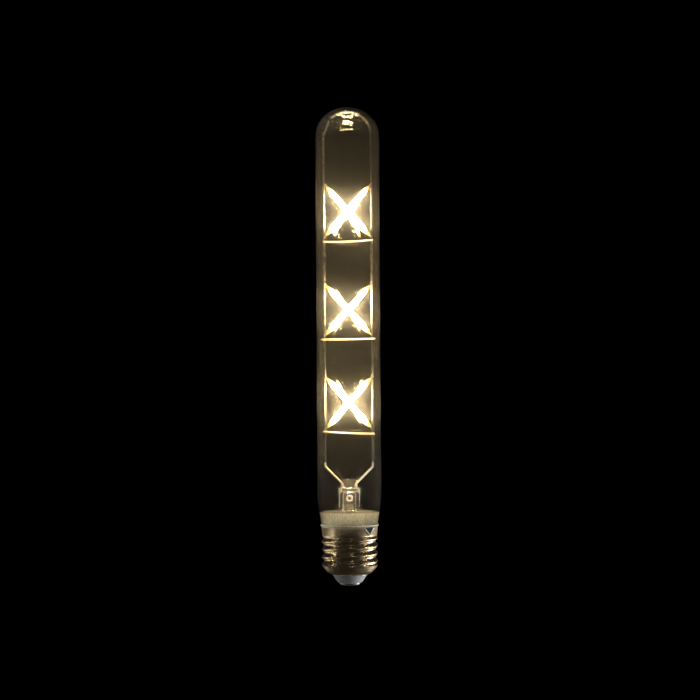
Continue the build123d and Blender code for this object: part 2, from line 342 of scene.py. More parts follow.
def own_place(tree, axis):
    """One of a piece's own coordinates."""
    place = tree.nodes.new("ShaderNodeTexCoord")
    parts = tree.nodes.new("ShaderNodeSeparateXYZ")
    tree.links.new(place.outputs["Object"], parts.inputs["Vector"])
    return parts.outputs[axis]


def calculate(tree, operation, *values):
    """Work out a value from sockets and numbers."""
    node = tree.nodes.new("ShaderNodeMath")
    node.operation = operation
    for entry, value in zip(node.inputs, values):
        if isinstance(value, bpy.types.NodeSocket):
            tree.links.new(value, entry)
        else:
            entry.default_value = value
    return node.outputs["Value"]


def mottled(tree, source, dark, pale):
    """Colours that follow noise, from dark to pale."""
    return ramp(tree, source, [(noise_low, dark), (noise_high, pale)])


def bump(tree, source, strength, distance):
    node = tree.nodes.new("ShaderNodeBump")
    node.inputs["Strength"].default_value = strength
    node.inputs["Distance"].default_value = distance
    tree.links.new(source, node.inputs["Height"])
    tree.links.new(node.outputs["Normal"], shader_of(tree).inputs["Normal"])


def plain_finish(name, dark, pale, size, metallic, rough, bump_depth, stretch=(1, 1, 1)):
    """Finish with mottled colour, uneven gloss and a fine surface."""
    finish, tree = new_finish(name)
    shader = shader_of(tree)
    noise = grain(tree, size, stretch)
    tree.links.new(mottled(tree, noise, dark, pale), shader.inputs["Base Color"])
    fine = grain(tree, size / 3, stretch)
    tree.links.new(spread(tree, fine, *rough), shader.inputs["Roughness"])
    shader.inputs["Metallic"].default_value = metallic
    bump(tree, fine, 0.5, bump_depth)
    return finish


def dull_towards(finish, clear_z, dull_z, added):
    """Make a finish rougher from one height to another."""
    tree = finish.node_tree
    rough = shader_of(tree).inputs["Roughness"]
    rise = scaled(tree, own_place(tree, "Z"), clear_z, dull_z, 0.0, added)
    tree.links.new(calculate(tree, "ADD", rough.links[0].from_socket, rise), rough)


def colour_above(finish, low_z, high_z, colour):
    """Let the colour of a finish turn into another one above a height, to paint light and shade onto the
    top of a piece.
    """
    tree = finish.node_tree
    base = shader_of(tree).inputs["Base Color"]
    mix = tree.nodes.new("ShaderNodeMixRGB")
    tree.links.new(scaled(tree, own_place(tree, "Z"), low_z, high_z), mix.inputs["Fac"])
    tree.links.new(base.links[0].from_socket, mix.inputs["Color1"])
    mix.inputs["Color2"].default_value = (*colour, 1)
    tree.links.new(mix.outputs["Color"], base)


def glass_finish(name, tint, clearness, wave_size, wave_depth, stretch=(1, 1, 1), sheen=0.0, haze=0.0):
    """Clear glass with a faint veil and slightly wavy walls."""
    finish, tree = new_finish(name)
    shader = shader_of(tree)
    shader.inputs["Transmission Weight"].default_value = clearness
    shader.inputs["IOR"].default_value = glass_bend
    waves = grain(tree, wave_size, stretch, detail=2.0)
    tree.links.new(mottled(tree, waves, *tint), shader.inputs["Base Color"])
    tree.links.new(spread(tree, waves, 0.0, 0.03), shader.inputs["Roughness"])
    shader.inputs["Sheen Weight"].default_value = sheen
    shader.inputs["Sheen Roughness"].default_value = 0.4
    shader.inputs["Sheen Tint"].default_value = (1.0, 0.82, 0.58, 1)
    bump(tree, waves, 0.3, wave_depth)
    glass = shader.outputs["BSDF"]
    if haze:
        glass = with_haze(tree, glass, haze)
    let_light_through(tree, glass)
    return finish


def with_haze(tree, clear, share):
    """A small share of the light is scattered forwards, which puts a soft glow around the filaments."""
    blur = tree.nodes.new("ShaderNodeBsdfRefraction")
    blur.inputs["IOR"].default_value = glass_bend
    blur.inputs["Roughness"].default_value = 0.68
    mix = tree.nodes.new("ShaderNodeMixShader")
    mix.inputs["Fac"].default_value = share
    tree.links.new(clear, mix.inputs[1])
    tree.links.new(blur.outputs["BSDF"], mix.inputs[2])
    return mix.outputs["Shader"]


def frost_around(finish, middle_z, reach, share_there, share_beyond):
    """Glass that turns milky around a height."""
    tree = finish.node_tree
    above = calculate(tree, "SUBTRACT", own_place(tree, "Z"), middle_z)
    away = calculate(tree, "ABSOLUTE", above)
    share = scaled(tree, away, 0.0, reach, share_there, share_beyond)
    tree.links.new(share, shader_of(tree).inputs["Transmission Weight"])


def let_light_through(tree, glass):
    """Let the light of lamps and filaments pass straight through glass to what is behind it."""
    path = tree.nodes.new("ShaderNodeLightPath")
    clear = tree.nodes.new("ShaderNodeBsdfTransparent")
    clear.inputs["Color"].default_value = (0.92, 0.92, 0.92, 1)
    mix = tree.nodes.new("ShaderNodeMixShader")
    tree.links.new(path.outputs["Is Shadow Ray"], mix.inputs["Fac"])
    tree.links.new(glass, mix.inputs[1])
    tree.links.new(clear.outputs["BSDF"], mix.inputs[2])
    tree.links.new(mix.outputs["Shader"], tree.nodes["Material Output"].inputs["Surface"])


def glow_finish():
    """Phosphor coat of a filament: white hot along the middle, yellow and dimmer at its ends."""
    finish, tree = new_finish("lit_filament_coat")
    shader = shader_of(tree)
    coat = grain(tree, 0.6 * mm)
    coat_colour = mottled(tree, coat, (0.80, 0.55, 0.12), (0.92, 0.70, 0.22))
    tree.links.new(coat_colour, shader.inputs["Base Color"])
    shader.inputs["Roughness"].default_value = 0.5
    along = scaled(tree, calculate(tree, "ABSOLUTE", own_place(tree, "X")), 0.0, rod_offset)
    glow = [
        (0.0, (1.0, 0.77, 0.42)),
        (0.66, (1.0, 0.75, 0.39)),
        (0.72, (0.10, 0.070, 0.030)),
        (0.78, (0.010, 0.0065, 0.0022)),
        (0.85, (0.003, 0.0016, 0.0004)),
        (1.0, (0.002, 0.001, 0.0002)),
    ]
    tree.links.new(ramp(tree, along, glow), shader.inputs["Emission Color"])
    shader.inputs["Emission Strength"].default_value = filament_glow
    bump(tree, coat, 0.4, 0.05 * mm)
    return finish


clear_glass = glass_finish(
    "clear_glass", tint=((0.96, 0.93, 0.87), (0.98, 0.96, 0.92)), clearness=0.9982,
    wave_size=4 * mm, wave_depth=0.02 * mm, stretch=(1, 1, 8), sheen=0.02, haze=0.0065)
stem_tint = ((0.93, 0.93, 0.90), (0.98, 0.98, 0.96))
stem_glass = glass_finish(
    "stem_glass", tint=stem_tint, clearness=0.96, wave_size=1.5 * mm, wave_depth=0.08 * mm)
exhaust_glass = glass_finish(
    "exhaust_glass", tint=stem_tint, clearness=0.95, wave_size=1.5 * mm, wave_depth=0.02 * mm)
frost_around(exhaust_glass, middle_z=37.3 * mm, reach=1.4 * mm, share_there=0.42, share_beyond=0.96)
ring_glass = glass_finish(
    "ring_glass", tint=stem_tint, clearness=0.40, wave_size=1.0 * mm, wave_depth=0.02 * mm)
spacer_glass = plain_finish(
    "spacer_glass", dark=(0.46, 0.40, 0.30), pale=(0.62, 0.55, 0.43),
    size=0.8 * mm, metallic=0.0, rough=(0.10, 0.25), bump_depth=0.01 * mm)
rod_metal = plain_finish(
    "rod_metal", dark=(0.28, 0.27, 0.25), pale=(0.37, 0.36, 0.33),
    size=0.8 * mm, metallic=1.0, rough=(0.22, 0.32), bump_depth=0.004 * mm, stretch=(1, 1, 6))
# Painted highlight: the rod wire is painted paler over the arch at the top of the rods, where it shines
# with the light of the filaments.
colour_above(rod_metal, low_z=205 * mm, high_z=216 * mm, colour=(0.56, 0.55, 0.51))
lead_metal = plain_finish(
    "lead_metal", dark=(0.84, 0.82, 0.77), pale=(0.95, 0.93, 0.88),
    size=0.6 * mm, metallic=1.0, rough=(0.30, 0.42), bump_depth=0.004 * mm)
pin_metal = plain_finish(
    "pin_metal", dark=(0.55, 0.50, 0.42), pale=(0.75, 0.70, 0.60),
    size=0.5 * mm, metallic=1.0, rough=(0.25, 0.45), bump_depth=0.01 * mm)
cap_metal = plain_finish(
    "cap_metal", dark=(0.56, 0.41, 0.22), pale=(0.76, 0.58, 0.35),
    size=1.0 * mm, metallic=1.0, rough=(0.22, 0.36), bump_depth=0.03 * mm, stretch=(6, 6, 1))
dull_towards(cap_metal, clear_z=22.5 * mm, dull_z=25.0 * mm, added=0.18)
contact_metal = plain_finish(
    "contact_metal", dark=(0.50, 0.45, 0.36), pale=(0.68, 0.62, 0.52),
    size=1.0 * mm, metallic=1.0, rough=(0.22, 0.42), bump_depth=0.02 * mm)
# Painted shade: the solder is painted near black and matt, in place of the dark reflection its shiny
# metal shows.
solder_painted_dark = plain_finish(
    "solder_painted_dark", dark=(0.003, 0.002, 0.002), pale=(0.022, 0.018, 0.015),
    size=0.7 * mm, metallic=0.0, rough=(0.45, 0.70), bump_depth=0.15 * mm)
# Painted highlight: the solder fillet along the edges of the notch is painted nearly white to show
# bright edges.
fillet_painted_highlight = plain_finish(
    "fillet_painted_highlight", dark=(0.74, 0.70, 0.63), pale=(0.93, 0.90, 0.84),
    size=0.5 * mm, metallic=0.3, rough=(0.30, 0.50), bump_depth=0.05 * mm)
cement_finish = plain_finish(
    "cement_finish", dark=(0.19, 0.17, 0.105), pale=(0.37, 0.33, 0.21),
    size=0.5 * mm, metallic=0.0, rough=(0.75, 0.95), bump_depth=0.15 * mm, stretch=(1, 1, 3))
# Painted shade: the top face of the cement is painted near black, much darker than its sides.
colour_above(cement_finish, low_z=34.4 * mm, high_z=34.85 * mm, colour=(0.03, 0.026, 0.018))
cement_shader = shader_of(cement_finish.node_tree)
cement_shader.inputs["Subsurface Weight"].default_value = 0.7
cement_shader.inputs["Subsurface Radius"].default_value = (1.0, 0.9, 0.75)
cement_shader.inputs["Subsurface Scale"].default_value = 6 * mm
# Painted light: the bead is the same cement as the plug, painted about twice as pale so that it looks as
# lit as the plug.
bead_painted_light_finish = plain_finish(
    "bead_painted_light_finish", dark=(0.42, 0.37, 0.255), pale=(0.64, 0.57, 0.41),
    size=0.5 * mm, metallic=0.0, rough=(0.75, 0.95), bump_depth=0.15 * mm, stretch=(1, 1, 3))
insulator_finish = plain_finish(
    "insulator_finish", dark=(0.55, 0.55, 0.56), pale=(0.66, 0.66, 0.67),
    size=0.5 * mm, metallic=0.0, rough=(0.20, 0.35), bump_depth=0.02 * mm, stretch=(8, 8, 1))
board_finish = plain_finish(
    "board_finish", dark=(0.60, 0.60, 0.55), pale=(0.72, 0.72, 0.66),
    size=0.6 * mm, metallic=0.0, rough=(0.45, 0.60), bump_depth=0.01 * mm)
chip_finish = plain_finish(
    "chip_finish", dark=(0.012, 0.012, 0.013), pale=(0.03, 0.03, 0.03),
    size=0.4 * mm, metallic=0.0, rough=(0.45, 0.65), bump_depth=0.01 * mm)
sleeve_finish = plain_finish(
    "sleeve_finish", dark=(0.02, 0.025, 0.05), pale=(0.05, 0.06, 0.10),
    size=1.0 * mm, metallic=0.0, rough=(0.25, 0.40), bump_depth=0.01 * mm)
fuse_finish = plain_finish(
    "fuse_finish", dark=(0.10, 0.30, 0.28), pale=(0.18, 0.42, 0.38),
    size=0.5 * mm, metallic=0.0, rough=(0.35, 0.55), bump_depth=0.01 * mm)
filament_finish = glow_finish()


# Glass tube
def glass_outline(inset):
    """Outline of one face of the glass wall, from the end of the neck up to the top of the dome."""
    bend_centre = (tube_radius - neck_bend_radius, tube_low_z)
    reach = neck_bend_radius - inset
    bend = arc(bend_centre, (reach, reach), -neck_angle, 0, 10)
    end_rise = neck_end_z - bend[0][1]
    neck_end = (bend[0][0] + end_rise * tan(neck_angle), neck_end_z)
    dome = arc((0, dome_base_z), (tube_radius - inset, dome_rise - inset), 0, pi / 2, 48)
    tube = []
    for run in range(1, tube_runs):
        tube.append((tube_radius - inset, tube_low_z + (dome_base_z - tube_low_z) * run / tube_runs))
    dome[-1] = (0, dome[-1][1])
    return [neck_end] + bend + tube + dome


def make_glass_tube():
    outer = glass_outline(0)
    inner = glass_outline(glass_wall)
    wall = list(reversed(inner)) + outer
    piece = turned("glass_tube", wall, tube_steps)
    ripple_wall(piece)
    finish_piece(piece, clear_glass, "clear_glass", "glass_envelope")


def ripple_wall(piece):
    """Draw faint upright ripples into both faces of the wall, and faint rings into the melted dome."""
    for vertex in piece.data.vertices:
        x, y, z = vertex.co
        climb = max(atan2(z - dome_base_z, hypot(x, y)), 0)
        rings = sum(part * sin(count * climb + start) for part, count, start in dome_rings)
        ring = 1 - dome_ring_share * sin(climb / 2) * (1 + rings)
        vertex.co.z = z if climb == 0 else dome_base_z + (z - dome_base_z) * ring
        angle = atan2(y, x)
        rise = z / mm
        wave = 0
        for part, count, twist, start in ripples:
            wave += part * sin(count * angle + rise / twist + start)
        share = (1 + wave) * ripple_depth / tube_radius
        vertex.co.x = x * (1 - share) * ring
        vertex.co.y = y * (1 - share) * ring


make_glass_tube()


# Glass stem: flared waist, pinched press on top, and the ring of the exhaust hole at the front
stem_flare_z = 35.2 * mm
stem_bore_radius = 3.3 * mm
stem_top_z = 46.2 * mm
press_width = 8.0 * mm
press_depth = 3.4 * mm
press_side_taper = 0.10
press_face_taper = 0.25
exhaust_ring_z = 41.2 * mm
exhaust_ring_y = -5.6 * mm
exhaust_ring_radius = 1.25 * mm
exhaust_lip_radius = 0.5 * mm
exhaust_ring_wrap = 0.06 / mm


def make_stem():
    flare_radius = stem_high[0]
    flare_low_z = stem_low[2]
    outline = [
        (0, stem_top_z),
        (4.6 * mm, stem_top_z),
        (5.2 * mm, stem_top_z - 0.12 * mm),
        (5.65 * mm, stem_top_z - 0.45 * mm),
        (5.85 * mm, stem_top_z - 0.95 * mm),
        (5.85 * mm, stem_top_z - 1.6 * mm),
        (5.7 * mm, stem_top_z - 3.0 * mm),
        (5.5 * mm, stem_top_z - 5.0 * mm),
        (5.45 * mm, stem_flare_z + 4.0 * mm),
        (5.45 * mm, stem_flare_z + 2.6 * mm),
        (5.6 * mm, stem_flare_z + 1.4 * mm),
        (5.9 * mm, stem_flare_z + 0.7 * mm),
        (6.4 * mm, stem_flare_z + 0.25 * mm),
        (7.4 * mm, stem_flare_z - 0.05 * mm),
        (9.0 * mm, stem_flare_z - 0.25 * mm),
        (flare_radius - 0.3 * mm, stem_flare_z - 0.5 * mm),
        (flare_radius - 0.4 * mm, flare_low_z),
        (5.4 * mm, flare_low_z),
        (4.2 * mm, flare_low_z + 0.9 * mm),
        (stem_bore_radius, flare_low_z + 2.4 * mm),
        (stem_bore_radius, stem_top_z - 3.0 * mm),
        (3.15 * mm, stem_top_z - 2.3 * mm),
        (2.7 * mm, stem_top_z - 1.8 * mm),
        (1.8 * mm, stem_top_z - 1.5 * mm),
        (0, stem_top_z - 1.4 * mm),
    ]
    piece = turned("stem_glassware", outline, 64)
    soften(piece, 0.15 * mm)
    finish_piece(piece, stem_glass, "stem_glass", "glass_stem")
    make_press()
    make_exhaust_ring()


def make_exhaust_ring():
    """Rounded lip of the exhaust hole, melted onto the front of the stem."""
    bpy.ops.object.select_all(action="DESELECT")
    bpy.ops.mesh.primitive_torus_add(
        major_radius=exhaust_ring_radius, minor_radius=exhaust_lip_radius,
        major_segments=40, minor_segments=16,
        location=(0, exhaust_ring_y, exhaust_ring_z), rotation=(pi / 2, 0, 0))
    ring = bpy.context.object
    ring.name = "exhaust_hole_lip"
    ring.data.name = "exhaust_hole_lip"
    bpy.ops.object.transform_apply(location=True, rotation=True, scale=True)
    for vertex in ring.data.vertices:
        across = hypot(vertex.co.x, vertex.co.z - exhaust_ring_z)
        vertex.co.y += exhaust_ring_wrap * across * across
    finish_piece(ring, ring_glass, "stem_glass")


def make_press():
    """Pinched block on top of the stem, narrower towards its top."""
    bpy.ops.object.select_all(action="DESELECT")
    bpy.ops.mesh.primitive_cube_add(size=1)
    press = bpy.context.object
    press.name = "stem_press"
    press.data.name = "stem_press"
    height = stem_high[2] - stem_top_z
    press.scale = (press_width, press_depth, height)
    press.location = (0, 0, stem_top_z + height / 2)
    bpy.ops.object.transform_apply(location=True, rotation=True, scale=True)
    bpy.ops.object.mode_set(mode="EDIT")
    bpy.ops.mesh.select_all(action="SELECT")
    bpy.ops.mesh.subdivide(number_cuts=3)
    bpy.ops.object.mode_set(mode="OBJECT")
    for vertex in press.data.vertices:
        rise = (vertex.co.z - stem_top_z) / height
        vertex.co.x *= 1 - press_side_taper * rise
        vertex.co.y *= 1 - press_face_taper * rise
    apply_modifier(
        press, "BEVEL", width=0.7 * mm, segments=4, limit_method="ANGLE", angle_limit=radians(50))
    finish_piece(press, stem_glass, "stem_glass")


make_stem()


# Exhaust tube inside the stem, drawn to a point where it was sealed off
def make_exhaust_tube():
    radius = exhaust_high[0]
    wall = 0.7 * mm
    low_z = exhaust_low[2]
    high_z = exhaust_high[2]
    outline = [
        (0, low_z),
        (0.6 * mm, low_z + 0.1 * mm),
        (1.2 * mm, low_z + 0.9 * mm),
        (radius - 0.1 * mm, low_z + 2.4 * mm),
        (radius, low_z + 4.0 * mm),
        (radius, high_z),
        (radius - wall, high_z),
        (radius - wall, low_z + 4.0 * mm),
        (0.5 * mm, low_z + 1.6 * mm),
        (0, low_z + 1.4 * mm),
    ]
    piece = turned("exhaust_tip", outline, 40)
    finish_piece(piece, exhaust_glass, "stem_glass", "exhaust_tube")


make_exhaust_tube()


# Capping cement: plug inside the neck, and the collar and bead over the rim of the cap
def make_cement():
    bore = 9.2 * mm
    top_z = cement_high[2]
    low_z = cement_low[2]
    neck_inner = glass_outline(glass_wall - 0.08 * mm)[0]
    slope = tan(neck_angle)
    plug_low = (neck_inner[0], neck_end_z - 0.05 * mm)
    under_flare_radius = 12.85 * mm
    under_flare_z = top_z - 0.03 * mm
    edge_z = top_z + 0.35 * mm
    edge_radius = neck_inner[0] + (edge_z - neck_end_z) * slope
    outline = [
        (bore, low_z),
        (12.8 * mm, low_z),
        (under_flare_radius, neck_end_z - 0.06 * mm),
        plug_low,
        (edge_radius - 0.01 * mm, edge_z - 0.06 * mm),
        (edge_radius - 0.3 * mm, edge_z + 0.08 * mm),
        (9.0 * mm, stem_flare_z + 0.05 * mm),
        (7.3 * mm, stem_flare_z + 0.20 * mm),
        (7.2 * mm, stem_flare_z + 0.08 * mm),
        (9.0 * mm, stem_flare_z - 0.20 * mm),
        (12.82 * mm, stem_flare_z - 0.44 * mm),
        (under_flare_radius, under_flare_z),
        (bore, under_flare_z),
        (bore, low_z),
    ]
    piece = turned("cement_plug", outline, 96)
    finish_piece(piece, cement_finish, "cement", "capping_cement")
    neck_outer = glass_outline(-0.03 * mm)[0]
    collar_radius = 12.87 * mm
    collar_low_z = rim_z - 1.2 * mm
    collar_start = (neck_outer[0] + (collar_low_z - neck_end_z) * slope, collar_low_z)
    bead_low_z = rim_z + 0.5 * mm
    bead_top_z = rim_z + 1.4 * mm
    collar = [
        collar_start,
        (collar_radius, collar_low_z),
        (collar_radius, rim_z + 0.05 * mm),
        (13.2 * mm, bead_low_z),
        (13.55 * mm, bead_low_z + 0.12 * mm),
        (13.7 * mm, (bead_low_z + bead_top_z) / 2),
        (13.6 * mm, bead_top_z - 0.15 * mm),
        (neck_outer[0] + (bead_top_z - neck_end_z) * slope, bead_top_z),
        collar_start,
    ]
    bead = turned("cement_bead", collar, 128)
    finish_piece(bead, bead_painted_light_finish, "cement")


make_cement()


# Cap shell: spun from sheet, with the thread rolled into it and a notch for the side contact
def ease(value, low, high):
    """Share of the way from low to high, eased at both ends."""
    share = min(max((value - low) / (high - low), 0), 1)
    return share * share * (3 - 2 * share)


def make_shell():
    cone_top_z = shell_end_z + (shell_radius - shell_end_radius) * tan(shell_cone_angle)
    outline = [
        (shell_end_radius, shell_end_z),
        (shell_end_radius + 0.9 * mm, shell_end_z + 0.25 * mm),
        (shell_end_radius + 1.7 * mm, shell_end_z + 0.65 * mm),
        (shell_end_radius + 2.4 * mm, shell_end_z + 1.2 * mm),
        (shell_end_radius + 3.2 * mm, shell_end_z + 2.1 * mm),
        (shell_end_radius + 4.1 * mm, shell_end_z + 3.2 * mm),
    ]
    for ring in range(thread_rings + 1):
        ring_z = cone_top_z + (thread_run_out[1] - cone_top_z) * ring / thread_rings
        outline.append((shell_radius - band_taper * ease(ring_z, *thread_run_out), ring_z))
    outline.append((shell_radius, rim_z - 0.25 * mm))
    outline.append((shell_radius - 0.03 * mm, rim_z))
    piece = turned("threaded_shell", outline, shell_steps)
    roll_thread(piece)
    apply_modifier(piece, "SOLIDIFY", thickness=shell_wall, offset=-1)
    cut_notch(piece)
    finish_piece(piece, cap_metal, "cap_metal", "cap_shell")


def roll_thread(piece):
    """Press a rounded right-hand groove into the sheet, run out at both of its ends."""
    for vertex in piece.data.vertices:
        x, y, z = vertex.co
        turn = (atan2(y, x) + pi) / (2 * pi)
        wave = (z - thread_crest_z) / thread_pitch - turn
        depth = thread_depth * ease(z, *thread_run_in) * (1 - ease(z, *thread_run_out))
        radius = hypot(x, y)
        pressed = radius - depth * (1 - cos(2 * pi * wave)) / 2
        vertex.co.x = x * pressed / radius
        vertex.co.y = y * pressed / radius


def cut_notch(piece):
    """Cut a V out of the rim at the side contact."""
    corners = [(-notch_width / 2, notch_overrun), (notch_width / 2, notch_overrun), (0, -notch_depth)]
    cutter = v_block("notch_cutter", corners, shell_radius - 2 * mm, 4 * mm)
    apply_modifier(piece, "BOOLEAN", operation="DIFFERENCE", object=cutter, solver="EXACT")
    bpy.data.objects.remove(cutter, do_unlink=True)


def at_side_contact(corners, reach):
    """Places at a radius, given as (across, height above the rim) around the side contact."""
    return [side_contact_turn @ Vector((reach, across, rim_z + rise)) for across, rise in corners]


def v_block(name, corners, reach, depth):
    """Block with an outline of (across, height above the rim), facing out at the side contact."""
    piece = draw_through(name, at_side_contact(corners, reach))
    bpy.ops.mesh.select_all(action="SELECT")
    bpy.ops.mesh.edge_face_add()
    outwards = side_contact_turn @ Vector((depth, 0, 0))
    bpy.ops.mesh.extrude_region_move(TRANSFORM_OT_translate={"value": outwards})
    bpy.ops.mesh.select_all(action="SELECT")
    bpy.ops.mesh.normals_make_consistent(inside=False)
    bpy.ops.object.mode_set(mode="OBJECT")
    return piece


make_shell()


# Solder in the notch, lumpy, painted near black for the dark reflection in its shiny face, with a fillet
# along the notch edges painted pale for their highlights
def make_solder():
    half = notch_width / 2 - 0.05 * mm
    corners = [
        (-half, 0.0),
        (-0.5 * half, 0.3 * mm),
        (0.1 * half, 0.15 * mm),
        (0.6 * half, 0.33 * mm),
        (half, 0.0),
        (0.5 * half, -0.5 * notch_depth + 0.03 * mm),
        (0, -notch_depth + 0.08 * mm),
        (-0.5 * half, -0.5 * notch_depth + 0.03 * mm),
    ]
    piece = v_block("side_contact_solder", corners, shell_radius - shell_wall - 0.1 * mm, 0.48 * mm)
    finish_piece(piece, solder_painted_dark, "solder", "side_solder")
    fillet_corners = [(-notch_width / 2, -0.1 * mm), (0, -notch_depth), (notch_width / 2, -0.1 * mm)]
    places = at_side_contact(fillet_corners, shell_radius - 0.05 * mm)
    fillet = wire_through("side_contact_fillet", fillet_radius, places, 0.6 * mm)
    finish_piece(fillet, fillet_painted_highlight, "solder")


make_solder()


# Insulator and centre contact
def make_insulator():
    low_z = insulator_low[2]
    high_z = insulator_high[2]
    seat_z = shell_end_z - 0.02 * mm
    outline = [
        (1.32 * mm, low_z),
        (5.2 * mm, low_z),
        (5.5 * mm, low_z + 0.12 * mm),
        (5.75 * mm, low_z + 0.35 * mm),
        (6.25 * mm, low_z + 0.95 * mm),
        (8.0 * mm, seat_z - 0.45 * mm),
        (8.22 * mm, seat_z - 0.2 * mm),
        (8.25 * mm, seat_z),
        (7.7 * mm, seat_z),
        (7.7 * mm, high_z),
        (1.32 * mm, high_z),
        (1.32 * mm, low_z),
    ]
    piece = turned("cap_end_insulator", outline, 96)
    soften(piece, 0.2 * mm)
    finish_piece(piece, insulator_finish, "insulator", "cap_insulator")


def make_contact():
    head_radius = contact_high[0]
    head_z = insulator_low[2]
    low_z = contact_low[2]
    top_z = contact_high[2]
    outline = [
        (0, low_z),
        (2.6 * mm, low_z),
        (3.6 * mm, low_z + 0.18 * mm),
        (4.4 * mm, low_z + 0.5 * mm),
        (head_radius, low_z + 0.95 * mm),
        (head_radius, head_z),
        (1.3 * mm, head_z),
        (1.3 * mm, top_z),
        (0, top_z),
    ]
    piece = turned("end_contact", outline, 64)
    soften(piece, 0.12 * mm)
    finish_piece(piece, contact_metal, "contact_metal", "centre_contact")


make_insulator()
make_contact()


# Support rods and lead wires
def make_right_rod():
    piece = start_wire("right_rod", rod_radius, (rod_offset, 0, rod_foot_z), (0, 0, 1))
    run_wire((0, 0, arch_z - rod_foot_z))
    bend_wire((0, 0, arch_z), (0, -1, 0), arch_angle, 48)
    end_wire(piece, rod_radius)
    finish_piece(piece, rod_metal, "support_wire", "right_support_rod")


def make_left_rod():
    reach = left_kink_length * sin(left_kink_angle)
    rise = left_kink_length * cos(left_kink_angle)
    places = [
        (-rod_offset, 0, rod_foot_z),
        (-rod_offset, 0, arch_z),
        (-rod_offset + reach, 0, arch_z + rise),
    ]
    piece = wire_through("left_rod", rod_radius, places, 1.6 * mm)
    finish_piece(piece, rod_metal, "support_wire", "left_support_rod")


def make_lead(name, side):
    places = [
        (side * rod_offset, 0, rod_foot_z),
        (side * rod_offset, 0, lead_kink_z),
        (side * lead_offset, 0, lead_exit_z),
        (side * lead_offset, 0, lead_low_z),
    ]
    piece = wire_through(f"{name}_lead", lead_radius, places, 1.2 * mm)
    finish_piece(piece, lead_metal, "lead_wire", f"{name}_lead_wire")


make_right_rod()
make_left_rod()
make_lead("left", -1)
make_lead("right", 1)


# Filaments, and the spacer rods that sag a little between the support rods
def make_filament(tier_name, slope, low_side, front):
    low_z, high_z = tiers[tier_name]
    low = Vector((low_side * rod_offset, front * filament_offset, low_z))
    high = Vector((-low_side * rod_offset, front * filament_offset, high_z))
    along = (high - low).normalized()
    start = low + along * filament_pin_length
    run = high - low - along * 2 * filament_pin_length
    piece = start_wire(f"{tier_name}_{slope}_coat", filament_radius, start, along)
    for _ in range(filament_runs):
        run_wire(run / filament_runs)
    bpy.ops.mesh.select_all(action="SELECT")
    bpy.ops.mesh.normals_make_consistent(inside=False)
    bpy.ops.object.mode_set(mode="OBJECT")
    apply_modifier(
        piece, "BEVEL", width=0.45 * mm, segments=4, limit_method="ANGLE", angle_limit=radians(60))
    thin_ends(piece, (low + high) / 2, along, run.length / 2)
    finish_piece(piece, filament_finish, "filament_coat", f"{tier_name}_{slope}_filament")


def thin_ends(piece, middle, along, half_length):
    """Let the coat of a filament run thinner towards its ends."""
    taper_start = filament_taper_start * half_length
    for vertex in piece.data.vertices:
        reach = (vertex.co - middle).dot(along)
        share = ease(abs(reach), taper_start, half_length)
        core = middle + along * reach
        vertex.co = core + (vertex.co - core) * (1 - filament_taper * share)


def make_spacer(tier_name):
    tilt = spacer_tilt[tier_name]
    sag = spacer_sag[tier_name]
    half = rod_offset + spacer_overhang[tier_name]
    height = tiers[tier_name][0] - spacer_drop
    start = Vector((-half, -spacer_offset, height - tilt))
    end = Vector((half, -spacer_offset, height + tilt))
    span = end - start
    bow = span.length ** 2 / (8 * sag)
    half_angle = span.length / (2 * bow)
    axis = Vector((0, -1, 0))
    upwards = axis.cross(span).normalized()
    centre = (start + end) / 2 + upwards * (bow - sag)
    direction = axis.cross(start - centre)
    piece = start_wire(f"{tier_name}_spacer", spacer_radius, start, direction)
    bend_wire(centre, axis, 2 * half_angle, 24)
    end_wire(piece, spacer_radius)
    finish_piece(piece, spacer_glass, "spacer_glass", f"{tier_name}_spacer_rod")


for tier_name in tiers:
    make_filament(tier_name, "rising", -1, -1)
    make_filament(tier_name, "falling", 1, 1)
    make_spacer(tier_name)

# Nodes of the frame that keep their shape, each with its finish
kept_finishes = {
    "driver_board": board_finish,
    "rectifier": chip_finish,
    "control_chip": chip_finish,
    "smoothing_capacitor": sleeve_finish,
    "fuse_resistor": fuse_finish,
    "neutral_wire": lead_metal,
}
for tier_name in tiers:
    kept_finishes[f"{tier_name}_rising_pins"] = pin_metal
    kept_finishes[f"{tier_name}_falling_pins"] = pin_metal
for node_name, finish in kept_finishes.items():
    for slot in nodes[node_name].material_slots:
        slot.material = finish


# Floor, light and background
def straight_sight(tree):
    """One where it is seen straight or through glass, none where it lights or mirrors in a surface."""
    path = tree.nodes.new("ShaderNodeLightPath")
    not_through_glass = calculate(tree, "LESS_THAN", path.outputs["Transmission Depth"], 0.5)
    not_scattered = calculate(tree, "LESS_THAN", path.outputs["Diffuse Depth"], 0.5)
    mirrored = calculate(tree, "MULTIPLY", path.outputs["Is Glossy Ray"], not_through_glass)
    seen = calculate(tree, "SUBTRACT", not_scattered, mirrored)
    seen.node.use_clamp = True
    return seen


def make_floor():
    bpy.ops.object.select_all(action="DESELECT")
    bpy.ops.mesh.primitive_plane_add(size=4, location=(0, 0, floor_z))
    floor = bpy.context.object
    floor.name = "floor"
    finish, tree = new_finish("pale_floor")
    shader = shader_of(tree)
    paper = grain(tree, 0.02)
    paper_colour = mottled(tree, paper, (0.74, 0.74, 0.73), (0.80, 0.80, 0.79))
    tree.links.new(paper_colour, shader.inputs["Base Color"])
    shader.inputs["Roughness"].default_value = 0.9
    unlit = tree.nodes.new("ShaderNodeEmission")
    unlit.inputs["Color"].default_value = (0, 0, 0, 1)
    mix = tree.nodes.new("ShaderNodeMixShader")
    tree.links.new(straight_sight(tree), mix.inputs["Fac"])
    tree.links.new(shader.outputs["BSDF"], mix.inputs[1])
    tree.links.new(unlit.outputs["Emission"], mix.inputs[2])
    tree.links.new(mix.outputs["Shader"], tree.nodes["Material Output"].inputs["Surface"])
    floor.data.materials.append(finish)


